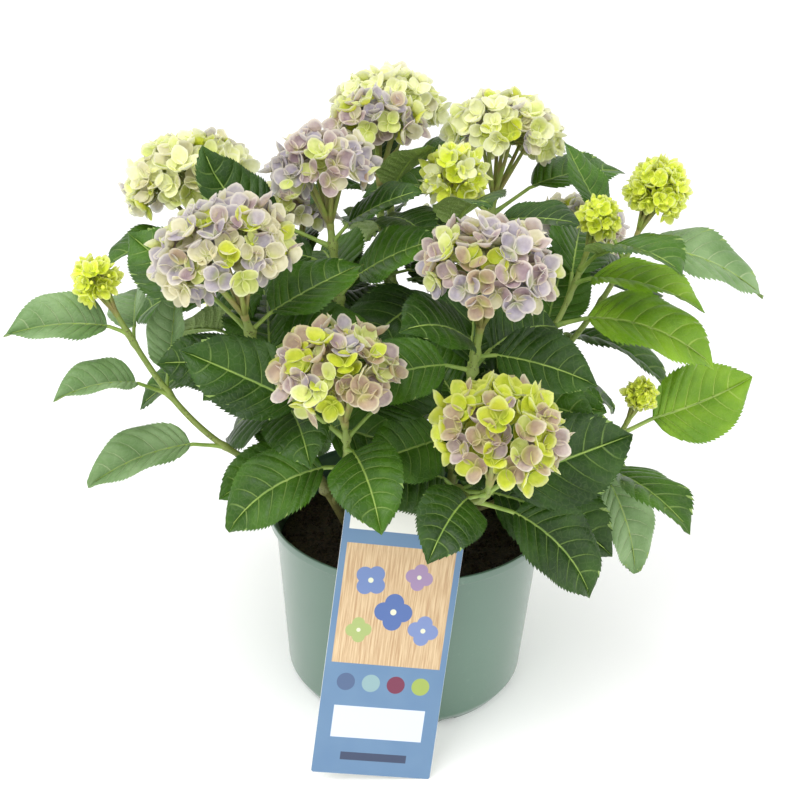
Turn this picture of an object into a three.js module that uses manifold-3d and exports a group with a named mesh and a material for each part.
// Hydrangea shrub in a nursery pot, with the care card that leans on the rim.
// Millimetres, +Z up. The origin is the middle of the pot's flat underside, +Y points away from the viewer.
//
// Five canes rise from the soil and thirteen side branches leave them. Each shoot is three solids that meet
// face to face: the bare cane or branch, the leafy stem with its pairs of leaves, and the flower head.

import * as THREE from 'three';
import { mergeVertices } from 'three/addons/utils/BufferGeometryUtils.js';
import Module from 'manifold-3d';

// Pot
const POT_HEIGHT = 145;
const POT_RIM_RADIUS = 110;
const POT_NECK_RADIUS = 105;
const POT_NECK_HEIGHT = 137;
const POT_WAIST_RADIUS = 95.5;
const POT_BASE_RADIUS = 89.5;
const POT_CHAMFER = 9;
const POT_WALL = 2;
const POT_FLOOR = 5;
const POT_SIDES = 36;
const NOTCHES = 8;
const NOTCH_WIDTH = 10;
const NOTCH_HEIGHT = 4;
const NOTCH_DEPTH = 7;

// Soil, and the gap that neighbouring solids keep
const SOIL_LEVEL = 118;
const GAP = 0.3;

// Care card: it stands on one corner of its foot and leans back on the rim
const CARD_WIDTH = 87;
const CARD_HEIGHT = 206;
const CARD_THICKNESS = 0.7;
const CARD_FOOT = [-22.5, -152.7];
const CARD_YAW = 7.85;
const CARD_LEAN = 14.95;
const CARD_SPIN = -8.03;

// Canes and branches
const CANE_RADIUS = { foot: 4.6, tip: 3.0 };
const BRANCH_RADIUS = { foot: 3.6, tip: 2.8 };
const LIMB_SIDES = 6;
const LIMB_STEP = 24;
const HEAD_TILT = 0.11;
const HEAD_TILT_MAX = 30;
const FOOT_PULL = 0.42;
const FORK_PULL = 0.36;
const ARC_STEPS = 80;
const LIMB_SAMPLES = 28;
const NECK_SAMPLES = [0.2, 0.5, 0.8];

// Leaves
const TOP_PAIR = 12;
const PAIR_SPACING = 44;
const BARE_FOOT = 25;
const STEM_BELOW = 14;
const STEM_TOP = 2;
const STALK_RADIUS = 1.9;
const STALK_RISE = 12;
const STALK_STEEPEST = 52;
const LEAF_THICKNESS = 2;
const LEAF_WIDTH = 0.365;
const BLADE_SHAPE = { fullness: 2.505, base: 0.6, tip: 0.85 };
const PAIR_RISE = [24, 12, 0];
const PAIR_DROOP = [-22, -34, -44];
const PAIR_SIZE = [0.9, 1, 0.95];
const BLADE_STATIONS = [0.14, 0.38, 0.64, 0.86];
const SPREAD = { heading: 24, rise: 16, droop: 20, twist: 24 };
const FLATTER_OUTWARD = { rise: 10, droop: 14 };
const SIZE = { least: 0.92, spread: 0.16 };
const FOLD = { least: 12, spread: 8 };
const STALK = { least: 20, spread: 6 };
const FIRST_SEED = 7919;
const SEED_STEP = 104729;
const CROWN_MIDDLE = new THREE.Vector3(0, 20, 170);
const LIGHT_PULL = new THREE.Vector3(0, -0.525, 0.462);
const TWIST_MAX = 58;
const TWIST_SHARE = 0.9;
const JITTER_SHARE = 0.6;
const TWIST_STATION = 0.4;

// Room that a new leaf keeps to what is already there
const ROOM = { leaf: 10, limb: 8, stalk: 6, head: 3, ownHead: 1.5, card: 6, pot: 5 };
const LOWEST_LEAF = 138;
const LOWEST_CHOSEN = 90;
const GRID_ALONG = [0.03, 0.12, 0.22, 0.32, 0.42, 0.52, 0.62, 0.72, 0.82, 0.91, 0.98];
const GRID_ACROSS = [-0.97, -0.65, -0.33, 0, 0.33, 0.65, 0.97];
const STALK_POINTS = [0.45, 0.75];
const TRY_SIZES = [1, 0.85, 0.7];
const TRY_LIFTS = [0, 12, -12, 26, -26];
const TRY_TURNS = [0, 16, -16, 32, -32];

// Flower heads: how far the dome reaches over and under its middle, in radii
const DOME = {
  bloom: { over: 0.8, under: 0.34, neck: 0.62, drop: 14 },
  bud: { over: 1.2, under: 0.8, neck: 0.8, drop: 12 },
};
const NET = { bloom: { rows: 5, edge: 100 }, bud: { rows: 5, edge: 130 } };
const NET_TOP = 20;
const FLORET_WIDTH = { bloom: 30, bud: 17 };
const FEWEST_ACROSS = 6;
const FLORET_RISE = 3.5;
const RAYS = 4;
const RAY_RADIUS = 1.7;
const RAY_INSET = 0.42;

const SOIL = 0;

// Shoots in the order they grow: number, head's place, head's radius, kind, parent, place on the parent
// (x and y on the soil, or the share of the parent's curve), lean at the foot, turn of the top pair of
// leaves, leaf length, pairs of leaves.
const SHOOTS = [
  [2, [-126, -80, 370], 50, 'bloom', SOIL, [-36, -26], 26, 150, 100, 3],
  [3, [-68, 0, 408], 40, 'bloom', SOIL, [-32, 16], 10, 160, 98, 3],
  [5, [-27, 200, 409], 50, 'bloom', SOIL, [-2, 40], 36, 20, 96, 3],
  [6, [65, 110, 409], 50, 'bloom', SOIL, [32, 22], 22, 0, 98, 3],
  [8, [45, -100, 372], 46, 'bloom', SOIL, [26, -28], 10, 20, 100, 3],
  [1, [-174, 70, 377], 52, 'bloom', 3, 0.24, 52, 60, 96, 3],
  [4, [-33, 85, 421], 39, 'bloom', 5, 0.36, 12, 60, 92, 2],
  [7, [25, 30, 396], 25, 'bud', 6, 0.24, 14, 100, 95, 2],
  [9, [-49, -130, 311], 42, 'bloom', 2, 0.2, 40, 190, 100, 3],
  [10, [54, -160, 286], 43, 'bloom', 8, 0.23, 42, 0, 98, 3],
  [11, [128, 10, 376], 17, 'bud', 8, 0.34, 45, 80, 98, 3],
  [12, [173, 40, 389], 24, 'bud', 11, 0.3, 60, -10, 98, 2],
  [13, [167, -20, 253], 13, 'bud', 8, 0.12, 62, 10, 96, 3],
  [14, [-216, -60, 343], 17, 'bud', 2, 0.32, 84, 190, 90, 3],
  [15, [-110, 165, 324], 44, 'bloom', 3, 0.1, 55, 120, 98, 3],
  [16, [20, 200, 294], 44, 'bloom', 5, 0.16, 70, 90, 98, 3],
  [17, [135, 150, 324], 42, 'bloom', 6, 0.12, 62, 50, 98, 3],
  [18, [-165, 150, 255], 17, 'bud', 15, 0.3, 70, 60, 88, 2],
];

// Leaves whose lie shows plainly from the front: shoot, pair, side, distance under the fork, stalk,
// heading, rise at the stalk, slope at the tip, length. They grow first, and the rule fills in the others.
const CHOSEN = [
  [14, 0, 0, 16, 15, -160, 15, -15, 70],
  [14, 0, 1, 24, 15, 100, 15, 0, 62],
  [14, 1, 0, 70, 30, -140, 20, -15, 62],
  [14, 1, 1, 66, 15, 120, 45, 65, 62],
  [14, 2, 0, 126, 25, -160, 0, -35, 80],
  [2, 0, 0, 12, 40, 145, 15, 25, 85],
  [2, 0, 1, 12, 20, 30, 25, 15, 75],
  [2, 1, 0, 60, 20, 180, 20, -10, 65],
  [9, 0, 0, 14, 40, 175, 25, 20, 85],
  [9, 0, 1, 14, 25, 35, 25, -5, 62],
  [9, 1, 0, 50, 15, -170, -10, -60, 85],
  [9, 1, 1, 24, 15, -70, 5, -55, 70],
  [10, 0, 0, 12, 15, 25, 10, 10, 100],
  [10, 0, 1, 14, 35, -115, 10, -40, 62],
  [10, 1, 0, 54, 30, -15, -20, -70, 85],
  [8, 0, 0, 22, 15, -15, 0, -20, 70],
  [8, 0, 1, 18, 15, -130, 40, 0, 75],
  [11, 0, 0, 22, 15, -35, 15, -20, 90],
  [12, 0, 0, 12, 15, -10, 0, -40, 95],
  [12, 0, 1, 22, 40, 135, 45, 55, 62],
  [13, 0, 0, 12, 30, 25, 5, 20, 95],
  [13, 1, 0, 40, 15, -50, -40, -80, 80],
  [3, 0, 0, 16, 42, -170, 10, 80, 80],
  [3, 0, 1, 12, 20, -20, 40, 20, 62],
  [3, 1, 0, 54, 25, -35, 40, 20, 70],
  [4, 0, 0, 14, 35, 100, 25, 60, 65],
  [4, 0, 1, 24, 35, -30, 50, 30, 62],
  [6, 0, 0, 12, 40, 20, 20, -10, 85],
  [7, 0, 0, 14, 50, -20, 20, 0, 65],
];
const SHORT_LEAF = 75;
const SHORT_LEAF_WIDTH = 0.4;

// Leaves that would hang over the card or the rim and that the plant doesn't have
const ABSENT = ['10 1 1', '8 2 0', '9 2 1', '14 2 1'];

const UP = new THREE.Vector3(0, 0, 1);
const radians = THREE.MathUtils.degToRad;
const lerp = THREE.MathUtils.lerp;

const wasm = await Module();
wasm.setup();

const FINISH = {
  pot: { color: 0x5f8773, roughness: 0.42 },
  soil: { color: 0x2b211a, roughness: 1 },
  card: { color: 0x7f9ccf, roughness: 0.35 },
  cane: { color: 0x7c8a3c, roughness: 0.6 },
  leaf: { color: 0x2f6b34, roughness: 0.45 },
  bloom: { color: 0xb3a3b4, roughness: 0.8 },
  bud: { color: 0xb4cc2e, roughness: 0.7 },
};

function mesh(name, geometry, finish) {
  const material = new THREE.MeshStandardMaterial({ ...FINISH[finish], metalness: 0 });
  const part = new THREE.Mesh(geometry, material);
  part.name = name;
  return part;
}

// A solid that can be cut and joined, from any closed three.js geometry.
function solidOf(geometry) {
  const bare = geometry.clone();
  bare.deleteAttribute('normal');
  bare.deleteAttribute('uv');
  const merged = mergeVertices(bare, 1e-4);
  return new wasm.Manifold(new wasm.Mesh({
    numProp: 3,
    vertProperties: new Float32Array(merged.attributes.position.array),
    triVerts: new Uint32Array(merged.index.array),
  }));
}

function geometryOf(solid) {
  const { vertProperties, triVerts } = solid.getMesh();
  const geometry = new THREE.BufferGeometry();
  geometry.setAttribute('position', new THREE.BufferAttribute(vertProperties, 3));
  geometry.setIndex(new THREE.BufferAttribute(triVerts, 1));
  return geometry;
}

function joined(solids) {
  return solids.reduce((whole, solid) => whole.add(solid));
}

// A cut can leave a sliver beside the piece: only the largest stays.
function largestPiece(solid) {
  return solid.decompose().reduce((best, piece) => (piece.volume() > best.volume() ? piece : best));
}

function offset(point, direction, distance) {
  return point.clone().addScaledVector(direction, distance);
}

// A heading on the plan and a slope above the level give a direction.
function heading(azimuth, slope = 0) {
  const flat = Math.cos(radians(slope));
  return new THREE.Vector3(
    flat * Math.cos(radians(azimuth)),
    flat * Math.sin(radians(azimuth)),
    Math.sin(radians(slope)),
  );
}

// A closed skin over a row of sections. Each is a ring of points, or one point where the shape has a tip.
function loft(sections) {
  const starts = [];
  const points = [];
  for (const section of sections) {
    starts.push(points.length);
    points.push(...section);
  }
  const faces = [];
  for (let k = 0; k + 1 < sections.length; k += 1) {
    const sides = Math.max(sections[k].length, sections[k + 1].length);
    const corner = (row, i) => starts[row] + (i % sections[row].length);
    for (let i = 0; i < sides; i += 1) {
      if (sections[k].length > 1) faces.push(corner(k, i), corner(k, i + 1), corner(k + 1, i + 1));
      if (sections[k + 1].length > 1) faces.push(corner(k, i), corner(k + 1, i + 1), corner(k + 1, i));
    }
  }
  const end = starts.at(-1);
  for (let i = 1; i + 1 < sections[0].length; i += 1) faces.push(0, i + 1, i);
  for (let i = 1; i + 1 < sections.at(-1).length; i += 1) faces.push(end, end + i, end + i + 1);
  const geometry = new THREE.BufferGeometry().setFromPoints(points);
  geometry.setIndex(faces);
  return geometry;
}

// A ring of equal sides round a centre. Its first corner lies towards the given side.
function ring(centre, facing, side, radius, sides) {
  const first = side.clone().addScaledVector(facing, -side.dot(facing)).normalize();
  const second = facing.clone().cross(first);
  return Array.from({ length: sides }, (_, i) => {
    const turn = (i / sides) * 2 * Math.PI;
    return offset(offset(centre, first, radius * Math.cos(turn)), second, radius * Math.sin(turn));
  });
}

// Park and Miller's stream of even draws from 0 to 1.
function stream(seed) {
  let state = seed;
  return () => {
    state = (state * 16807) % 2147483647;
    return state / 2147483647;
  };
}

// The cane or branch of one shoot: a cubic curve from its foot to the fork under its head.
function growCane(row, canes) {
  const [number, place, radius, kind, parent, from, lean, turn, leaf, pairs] = row;
  const head = new THREE.Vector3(...place);
  const reach = Math.hypot(head.x, head.y);
  const tilt = Math.min(HEAD_TILT * reach, HEAD_TILT_MAX);
  const axis = heading(THREE.MathUtils.radToDeg(Math.atan2(head.y, head.x)), 90 - tilt);
  const fork = offset(head, axis, -(DOME[kind].neck * radius + DOME[kind].drop));
  const rooted = parent === SOIL;
  const foot = rooted ? new THREE.Vector3(...from, SOIL_LEVEL) : canes.get(parent).curve.getPoint(from);
  const chord = foot.distanceTo(fork);
  const away = new THREE.Vector3(fork.x - foot.x, fork.y - foot.y, 0).normalize();
  const start = UP.clone().multiplyScalar(Math.cos(radians(lean)));
  start.addScaledVector(away, Math.sin(radians(lean)));
  const curve = new THREE.CubicBezierCurve3(
    foot,
    offset(foot, start, FOOT_PULL * chord),
    offset(fork, axis, -FORK_PULL * chord),
    fork,
  );
  const belowFork = [0];
  for (let i = ARC_STEPS; i > 0; i -= 1) {
    const piece = curve.getPoint(i / ARC_STEPS).distanceTo(curve.getPoint((i - 1) / ARC_STEPS));
    belowFork.push(belowFork.at(-1) + piece);
  }
  const samples = curve.getPoints(LIMB_SAMPLES - 1);
  for (const share of NECK_SAMPLES) samples.push(fork.clone().lerp(head, share));
  const shape = { taper: rooted ? CANE_RADIUS : BRANCH_RADIUS, side: new THREE.Vector3(away.y, -away.x, 0) };
  const plan = { number, head, radius, kind, parent, turn, leaf, pairs };
  return { ...plan, ...shape, axis, fork, curve, belowFork, samples };
}

// The curve's parameter at a distance below the fork.
function paramBelow(cane, below) {
  const { belowFork } = cane;
  const k = Math.min(belowFork.findIndex((reached) => reached >= below), ARC_STEPS);
  if (k <= 0) return k < 0 ? 0 : 1;
  const share = (below - belowFork[k - 1]) / (belowFork[k] - belowFork[k - 1]);
  return 1 - (k - 1 + share) / ARC_STEPS;
}

function lengthOf(cane) {
  return cane.belowFork.at(-1);
}

// One round section of a cane, square to its curve.
function caneRing(cane, below, { shift = 0, grow = 0, level = false } = {}) {
  const t = paramBelow(cane, below);
  const facing = level ? UP : cane.curve.getTangent(t);
  const centre = offset(cane.curve.getPoint(t), facing, shift);
  const radius = lerp(cane.taper.tip, cane.taper.foot, below / lengthOf(cane)) + grow;
  return ring(centre, facing, cane.side, radius, LIMB_SIDES);
}

function caneRings(cane, from, to, first = {}, others = {}) {
  const steps = Math.max(1, Math.ceil((from - to) / LIMB_STEP));
  return Array.from({ length: steps + 1 }, (_, i) => (
    caneRing(cane, lerp(from, to, i / steps), i === 0 ? { ...others, ...first } : others)
  ));
}

function stalkWay(leaf) {
  return heading(leaf.azimuth, Math.min(leaf.rise + STALK_RISE, STALK_STEEPEST));
}

function bladeHalfWidth(leaf, s) {
  const { fullness, base, tip } = BLADE_SHAPE;
  return leaf.length * leaf.width * fullness * s ** base * (1 - s) ** tip;
}

// The midrib is an arc whose slope goes evenly from the rise to the droop. The blade stands across it,
// turned by the twist.
function midrib(leaf, s, twist = leaf.twist) {
  const out = heading(leaf.azimuth);
  const level = heading(leaf.azimuth + 90);
  const rise = radians(leaf.rise);
  const bend = radians(leaf.droop) - rise;
  const turned = Math.abs(bend) < 1e-3 ? 1e-3 : bend;
  const slope = rise + turned * s;
  const centre = offset(leaf.root, stalkWay(leaf), leaf.stalk);
  centre.addScaledVector(out, (leaf.length / turned) * (Math.sin(slope) - Math.sin(rise)));
  centre.addScaledVector(UP, -(leaf.length / turned) * (Math.cos(slope) - Math.cos(rise)));
  const over = out.multiplyScalar(-Math.sin(slope)).addScaledVector(UP, Math.cos(slope));
  const roll = radians(twist);
  const across = level.clone().multiplyScalar(Math.cos(roll)).addScaledVector(over, Math.sin(roll));
  const normal = over.multiplyScalar(Math.cos(roll)).addScaledVector(level, -Math.sin(roll));
  return { centre, across, normal };
}

// A point on the blade: s runs from stalk to tip, v from the left edge, -1, to the right edge, 1.
// The two halves fold up from the midrib.
function bladePoint(leaf, s, v) {
  const { centre, across, normal } = midrib(leaf, s);
  const reach = bladeHalfWidth(leaf, s) * v;
  const point = offset(centre, across, reach * Math.cos(radians(leaf.fold)));
  return point.addScaledVector(normal, Math.abs(reach) * Math.sin(radians(leaf.fold)));
}

// A blade turns its face away from the crown's middle and towards the light.
function facingTwist(leaf, jitter) {
  const { centre, across, normal } = midrib(leaf, TWIST_STATION, 0);
  const wanted = centre.clone().sub(CROWN_MIDDLE).normalize().add(LIGHT_PULL);
  const full = Math.atan2(-wanted.dot(across), Math.max(wanted.dot(normal), 0.05));
  const share = TWIST_SHARE * THREE.MathUtils.radToDeg(full);
  return THREE.MathUtils.clamp(share, -TWIST_MAX, TWIST_MAX) + JITTER_SHARE * jitter;
}

function stalkPoints(leaf) {
  return STALK_POINTS.map((share) => offset(leaf.root, stalkWay(leaf), leaf.stalk * share));
}

function gridOf(leaf) {
  return GRID_ALONG.flatMap((s) => GRID_ACROSS.map((v) => bladePoint(leaf, s, v)));
}

function anyNear(points, others, distance) {
  const box = new THREE.Box3().setFromPoints(points).expandByScalar(distance);
  const close = others.filter((other) => box.containsPoint(other));
  return close.some((other) => points.some((point) => point.distanceTo(other) < distance));
}

// The card's own frame: across, up its face, and out of its front.
function cardFrame() {
  const level = heading(CARD_YAW);
  const back = heading(CARD_YAW + 90);
  const rise = UP.clone().multiplyScalar(Math.cos(radians(CARD_LEAN)));
  rise.addScaledVector(back, Math.sin(radians(CARD_LEAN)));
  const spin = radians(CARD_SPIN);
  const across = level.clone().multiplyScalar(Math.cos(spin)).addScaledVector(rise, Math.sin(spin));
  const along = rise.multiplyScalar(Math.cos(spin)).addScaledVector(level, -Math.sin(spin));
  const front = across.clone().cross(along);
  const lift = (CARD_WIDTH / 2) * Math.abs(across.z) + CARD_THICKNESS * front.z;
  return { across, along, front, foot: new THREE.Vector3(...CARD_FOOT, lift) };
}
const card = cardFrame();

function meetsCard(points) {
  const sides = [];
  for (const point of points) {
    const from = point.clone().sub(card.foot);
    const up = from.dot(card.along);
    const beside = Math.abs(from.dot(card.across)) > CARD_WIDTH / 2 + ROOM.card;
    if (!beside && up > -ROOM.card && up < CARD_HEIGHT + ROOM.card) sides.push(from.dot(card.front));
  }
  return sides.some((d) => Math.abs(d) < ROOM.card) || (Math.min(...sides) < 0 && Math.max(...sides) > 0);
}

function meetsPot(point) {
  return Math.hypot(point.x, point.y) < POT_RIM_RADIUS + ROOM.pot && point.z < POT_HEIGHT + ROOM.pot - 1;
}

function meetsHead(point, cane, room) {
  const from = point.clone().sub(cane.head);
  const up = from.dot(cane.axis);
  const across = from.addScaledVector(cane.axis, -up).length();
  const height = (up > 0 ? DOME[cane.kind].over : DOME[cane.kind].under) * cane.radius + room;
  return (up / height) ** 2 + (across / (cane.radius + room)) ** 2 < 1;
}

function hasRoom(leaf, grid, grown, canes) {
  const lowest = leaf.chosen ? LOWEST_CHOSEN : LOWEST_LEAF;
  const stalk = stalkPoints(leaf);
  if (grid.some((point) => point.z < lowest || meetsPot(point))) return false;
  if (meetsCard([...stalk, ...grid])) return false;
  for (const cane of canes.values()) {
    const own = cane.number === leaf.shoot;
    const room = own ? ROOM.ownHead : ROOM.head;
    if (grid.some((point) => meetsHead(point, cane, room))) return false;
    if (anyNear(own ? grid.slice(GRID_ACROSS.length) : grid, cane.samples, ROOM.limb)) return false;
    if (!own && anyNear(stalk, cane.samples, ROOM.limb)) return false;
  }
  for (const other of grown) {
    if (anyNear(grid, other.grid, ROOM.leaf)) return false;
    if (anyNear(grid, other.stalkLine, ROOM.stalk) || anyNear(stalk, other.grid, ROOM.stalk)) return false;
  }
  return true;
}

// Every leaf that a shoot could carry, with its own draws, before it looks for room.
function wantedLeaves(cane) {
  const draw = stream(FIRST_SEED + SEED_STEP * cane.number);
  const wanted = [];
  for (let pair = 0; pair < cane.pairs; pair += 1) {
    const below = TOP_PAIR + PAIR_SPACING * pair;
    if (below > lengthOf(cane) - BARE_FOOT) continue;
    for (const side of [0, 1]) {
      const [swing, lift, bow, size, fold, jitter] = Array.from({ length: 6 }, draw);
      const azimuth = cane.turn + 90 * pair + 180 * side + (swing - 0.5) * SPREAD.heading;
      const outward = Math.cos(radians(azimuth) - Math.atan2(cane.head.y, cane.head.x));
      const leaf = {
        shoot: cane.number,
        pair,
        side,
        below,
        azimuth,
        rise: PAIR_RISE[pair] + (lift - 0.5) * SPREAD.rise - FLATTER_OUTWARD.rise * outward,
        droop: PAIR_DROOP[pair] + (bow - 0.5) * SPREAD.droop - FLATTER_OUTWARD.droop * outward,
        length: cane.leaf * PAIR_SIZE[pair] * (SIZE.least + SIZE.spread * size),
        width: LEAF_WIDTH,
        fold: FOLD.least + FOLD.spread * fold,
        stalk: STALK.least + STALK.spread * size,
        jitter: (jitter - 0.5) * SPREAD.twist,
        chosen: false,
      };
      const row = CHOSEN.find(([n, p, q]) => n === leaf.shoot && p === pair && q === side);
      if (row) {
        [leaf.below, leaf.stalk, leaf.azimuth, leaf.rise, leaf.droop, leaf.length] = row.slice(3);
        leaf.width = leaf.length > SHORT_LEAF ? LEAF_WIDTH : SHORT_LEAF_WIDTH;
        leaf.chosen = true;
      }
      leaf.root = cane.curve.getPoint(paramBelow(cane, leaf.below));
      if (!ABSENT.includes(`${leaf.shoot} ${pair} ${side}`)) wanted.push(leaf);
    }
  }
  return wanted;
}

// The leaf as wanted, or smaller, lifted or turned, in the first place where it has room.
function settle(leaf, grown, canes) {
  for (const size of TRY_SIZES) {
    for (const lift of TRY_LIFTS) {
      for (const turn of TRY_TURNS) {
        const tried = {
          ...leaf,
          length: leaf.length * size,
          azimuth: leaf.azimuth + turn,
          rise: leaf.rise + lift,
          droop: leaf.droop + lift,
        };
        tried.twist = facingTwist(tried, leaf.jitter);
        tried.grid = gridOf(tried);
        tried.stalkLine = stalkPoints(tried);
        if (hasRoom(tried, tried.grid, grown, canes)) return tried;
      }
    }
  }
  return null;
}

function growLeaves(canes) {
  const wanted = [...canes.values()].flatMap(wantedLeaves);
  wanted.sort((a, b) => Number(b.chosen) - Number(a.chosen) || a.pair - b.pair);
  const grown = [];
  for (const leaf of wanted) {
    const settled = settle(leaf, grown, canes);
    if (settled) grown.push(settled);
  }
  return grown;
}

// A leaf as a solid: a stalk that starts on the stem's centre line, then a folded blade with thin edges.
function leafSolid(leaf) {
  const level = heading(leaf.azimuth + 90);
  const overStalk = stalkWay(leaf).cross(level);
  const stalkEnd = (centre, radius, across, over) => [
    offset(centre, across, radius),
    offset(centre, over, radius),
    offset(centre, across, -radius),
    offset(centre, over, -radius),
  ];
  const start = midrib(leaf, 0);
  const sections = [
    stalkEnd(leaf.root, STALK_RADIUS, level, overStalk),
    stalkEnd(start.centre, STALK_RADIUS * 0.9, start.across, start.normal),
  ];
  for (const s of BLADE_STATIONS) {
    const { centre, normal } = midrib(leaf, s);
    sections.push([
      bladePoint(leaf, s, 1),
      offset(centre, normal, LEAF_THICKNESS * 0.4),
      bladePoint(leaf, s, -1),
      offset(centre, normal, -LEAF_THICKNESS * 0.6),
    ]);
  }
  sections.push([midrib(leaf, 1).centre]);
  return solidOf(loft(sections));
}

// The bare foot of a shoot. A branch starts inside its parent and is cut clear of it.
function limbSolid(cane, canes, top) {
  const fromSoil = cane.parent === SOIL;
  const first = fromSoil ? { level: true, shift: GAP } : {};
  const limb = solidOf(loft(caneRings(cane, lengthOf(cane), top, first)));
  if (fromSoil) return limb;
  const parent = canes.get(cane.parent);
  const clearance = GAP / Math.cos(Math.PI / LIMB_SIDES);
  const room = solidOf(loft(caneRings(parent, lengthOf(parent), 0, {}, { grow: clearance })));
  return largestPiece(limb.subtract(room));
}

// A point on a head's dome, or inset from it, at an angle from its axis and a turn round it.
function domePoint(cane, angle, turn, inset) {
  const east = cane.side.clone().addScaledVector(cane.axis, -cane.side.dot(cane.axis)).normalize();
  const north = cane.axis.clone().cross(east);
  const flat = east.multiplyScalar(Math.cos(turn)).addScaledVector(north, Math.sin(turn));
  const wide = cane.radius - inset;
  const high = (Math.cos(angle) > 0 ? DOME[cane.kind].over : DOME[cane.kind].under) * cane.radius - inset;
  return offset(offset(cane.head, flat, wide * Math.sin(angle)), cane.axis, high * Math.cos(angle));
}

// A head's dome is a net of diamonds in staggered rows, one for each floret, raised at their middles.
function domeSolid(cane) {
  const { rows, edge } = NET[cane.kind];
  const count = Math.max(FEWEST_ACROSS, Math.round((2 * Math.PI * cane.radius) / FLORET_WIDTH[cane.kind]));
  const place = (angle, step, inset) => domePoint(cane, radians(angle), (step / count) * 2 * Math.PI, inset);
  const rowAngle = (row) => lerp(edge, NET_TOP, row / (rows - 1));
  const points = [place(180, 0, FLORET_RISE)];
  for (let row = 0; row < rows; row += 1) {
    for (let i = 0; i < count; i += 1) points.push(place(rowAngle(row), i + row / 2, FLORET_RISE));
  }
  points.push(place(0, 0, FLORET_RISE / 2));
  const under = 0;
  const top = points.length - 1;
  const corner = (row, i) => (row === rows ? top : 1 + row * count + (i % count));
  const faces = [];
  for (let i = 0; i < count; i += 1) {
    faces.push(corner(0, i), under, corner(0, i + 1), corner(0, i), corner(0, i + 1), corner(1, i));
  }
  for (let row = 1; row < rows; row += 1) {
    for (let i = 0; i < count; i += 1) {
      const rim = [corner(row - 1, i + 1), corner(row, i + 1), corner(row + 1, i), corner(row, i)];
      const middle = points.length;
      points.push(place(rowAngle(row), i + (row + 1) / 2, 0));
      rim.forEach((from, k) => faces.push(from, rim[(k + 1) % 4], middle));
    }
  }
  const geometry = new THREE.BufferGeometry().setFromPoints(points);
  geometry.setIndex(faces);
  return solidOf(geometry);
}

// Under a head the stalk forks into rays that carry the rim of the dome.
function raySolids(cane) {
  return Array.from({ length: RAYS }, (_, i) => {
    const turn = ((i + 0.5) / RAYS) * 2 * Math.PI;
    const point = domePoint(cane, Math.PI / 2, turn, cane.radius * RAY_INSET);
    const start = offset(cane.fork, cane.axis, -1);
    const way = point.clone().sub(start).normalize();
    return solidOf(loft([
      ring(start, way, cane.side, RAY_RADIUS, 3),
      ring(point, way, cane.side, RAY_RADIUS * 0.8, 3),
    ]));
  });
}

function headSolid(cane, base) {
  const stalk = loft([
    caneRing(cane, base, { shift: GAP }),
    ring(cane.fork, cane.axis, cane.side, cane.taper.tip, LIMB_SIDES),
    ring(cane.head, cane.axis, cane.side, cane.taper.tip * 0.8, LIMB_SIDES),
  ]);
  const rays = cane.kind === 'bloom' ? raySolids(cane) : [];
  return joined([solidOf(stalk), ...rays, domeSolid(cane)]);
}

function potGeometry() {
  const inner = POT_WALL;
  const profile = [
    [0, 0],
    [POT_BASE_RADIUS, 0],
    [POT_WAIST_RADIUS, POT_CHAMFER],
    [POT_NECK_RADIUS, POT_NECK_HEIGHT],
    [POT_RIM_RADIUS, POT_NECK_HEIGHT + 1.5],
    [POT_RIM_RADIUS, POT_HEIGHT],
    [POT_RIM_RADIUS - inner, POT_HEIGHT],
    [POT_RIM_RADIUS - inner, POT_NECK_HEIGHT + 3],
    [POT_NECK_RADIUS - inner, POT_NECK_HEIGHT],
    [POT_WAIST_RADIUS - inner, POT_CHAMFER],
    [POT_WAIST_RADIUS - inner, POT_FLOOR],
    [0, POT_FLOOR],
  ];
  const shell = new THREE.LatheGeometry(profile.map(([x, y]) => new THREE.Vector2(x, y)), POT_SIDES);
  let pot = solidOf(shell.rotateX(Math.PI / 2));
  for (let i = 0; i < NOTCHES; i += 1) {
    const notch = new THREE.BoxGeometry(2 * NOTCH_DEPTH, NOTCH_WIDTH, 2 * NOTCH_HEIGHT);
    notch.translate(POT_WAIST_RADIUS, 0, 0);
    notch.rotateZ(((i + 0.5) / NOTCHES) * 2 * Math.PI);
    pot = pot.subtract(solidOf(notch));
  }
  return geometryOf(pot);
}

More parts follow.
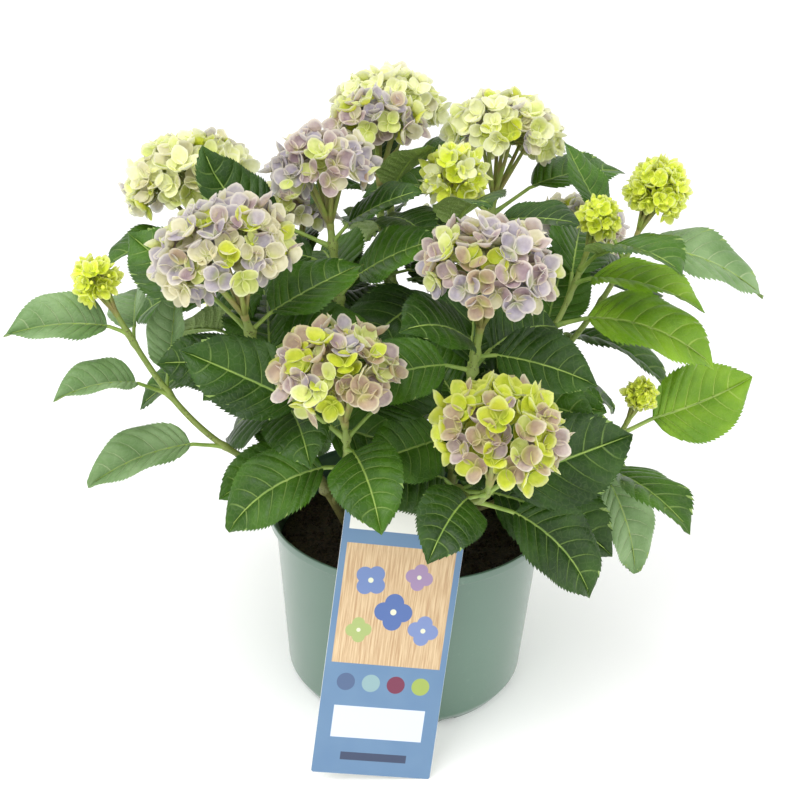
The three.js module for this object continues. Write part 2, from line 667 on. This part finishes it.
function soilGeometry() {
  const inset = POT_WALL + GAP * 1.2;
  const taper = (POT_NECK_RADIUS - POT_WAIST_RADIUS) / (POT_NECK_HEIGHT - POT_CHAMFER);
  const radiusAt = (z) => POT_WAIST_RADIUS - inset + Math.max(0, z - POT_CHAMFER) * taper;
  const low = POT_FLOOR + GAP;
  const profile = [
    [0, low],
    [radiusAt(low), low],
    [radiusAt(POT_CHAMFER), POT_CHAMFER],
    [radiusAt(SOIL_LEVEL), SOIL_LEVEL],
    [0, SOIL_LEVEL],
  ];
  const body = new THREE.LatheGeometry(profile.map(([x, y]) => new THREE.Vector2(x, y)), POT_SIDES);
  return geometryOf(solidOf(body.rotateX(Math.PI / 2)));
}

function cardGeometry() {
  const sheet = new THREE.BoxGeometry(CARD_WIDTH, CARD_HEIGHT, CARD_THICKNESS);
  sheet.translate(0, CARD_HEIGHT / 2, -CARD_THICKNESS / 2);
  const place = new THREE.Matrix4().makeBasis(card.across, card.along, card.front);
  return sheet.applyMatrix4(place.setPosition(card.foot));
}

const canes = new Map();
for (const row of SHOOTS) canes.set(row[0], growCane(row, canes));
const leaves = growLeaves(canes);

const plant = new THREE.Group();
plant.add(mesh('pot', potGeometry(), 'pot'));
plant.add(mesh('soil', soilGeometry(), 'soil'));
plant.add(mesh('care_card', cardGeometry(), 'card'));

for (const cane of canes.values()) {
  const own = leaves.filter((leaf) => leaf.shoot === cane.number);
  const lowest = own.length ? Math.max(...own.map((leaf) => leaf.below)) : TOP_PAIR;
  const foot = lowest + STEM_BELOW;
  const label = String(cane.number).padStart(2, '0');
  const limbName = cane.parent === SOIL ? `cane_${label}` : `branch_${label}`;
  plant.add(mesh(limbName, geometryOf(limbSolid(cane, canes, foot)), 'cane'));
  const stem = solidOf(loft(caneRings(cane, foot, STEM_TOP, { shift: GAP })));
  plant.add(mesh(`leaves_${label}`, geometryOf(joined([stem, ...own.map(leafSolid)])), 'leaf'));
  plant.add(mesh(`${cane.kind}_${label}`, geometryOf(headSolid(cane, STEM_TOP)), cane.kind));
}

export default plant;
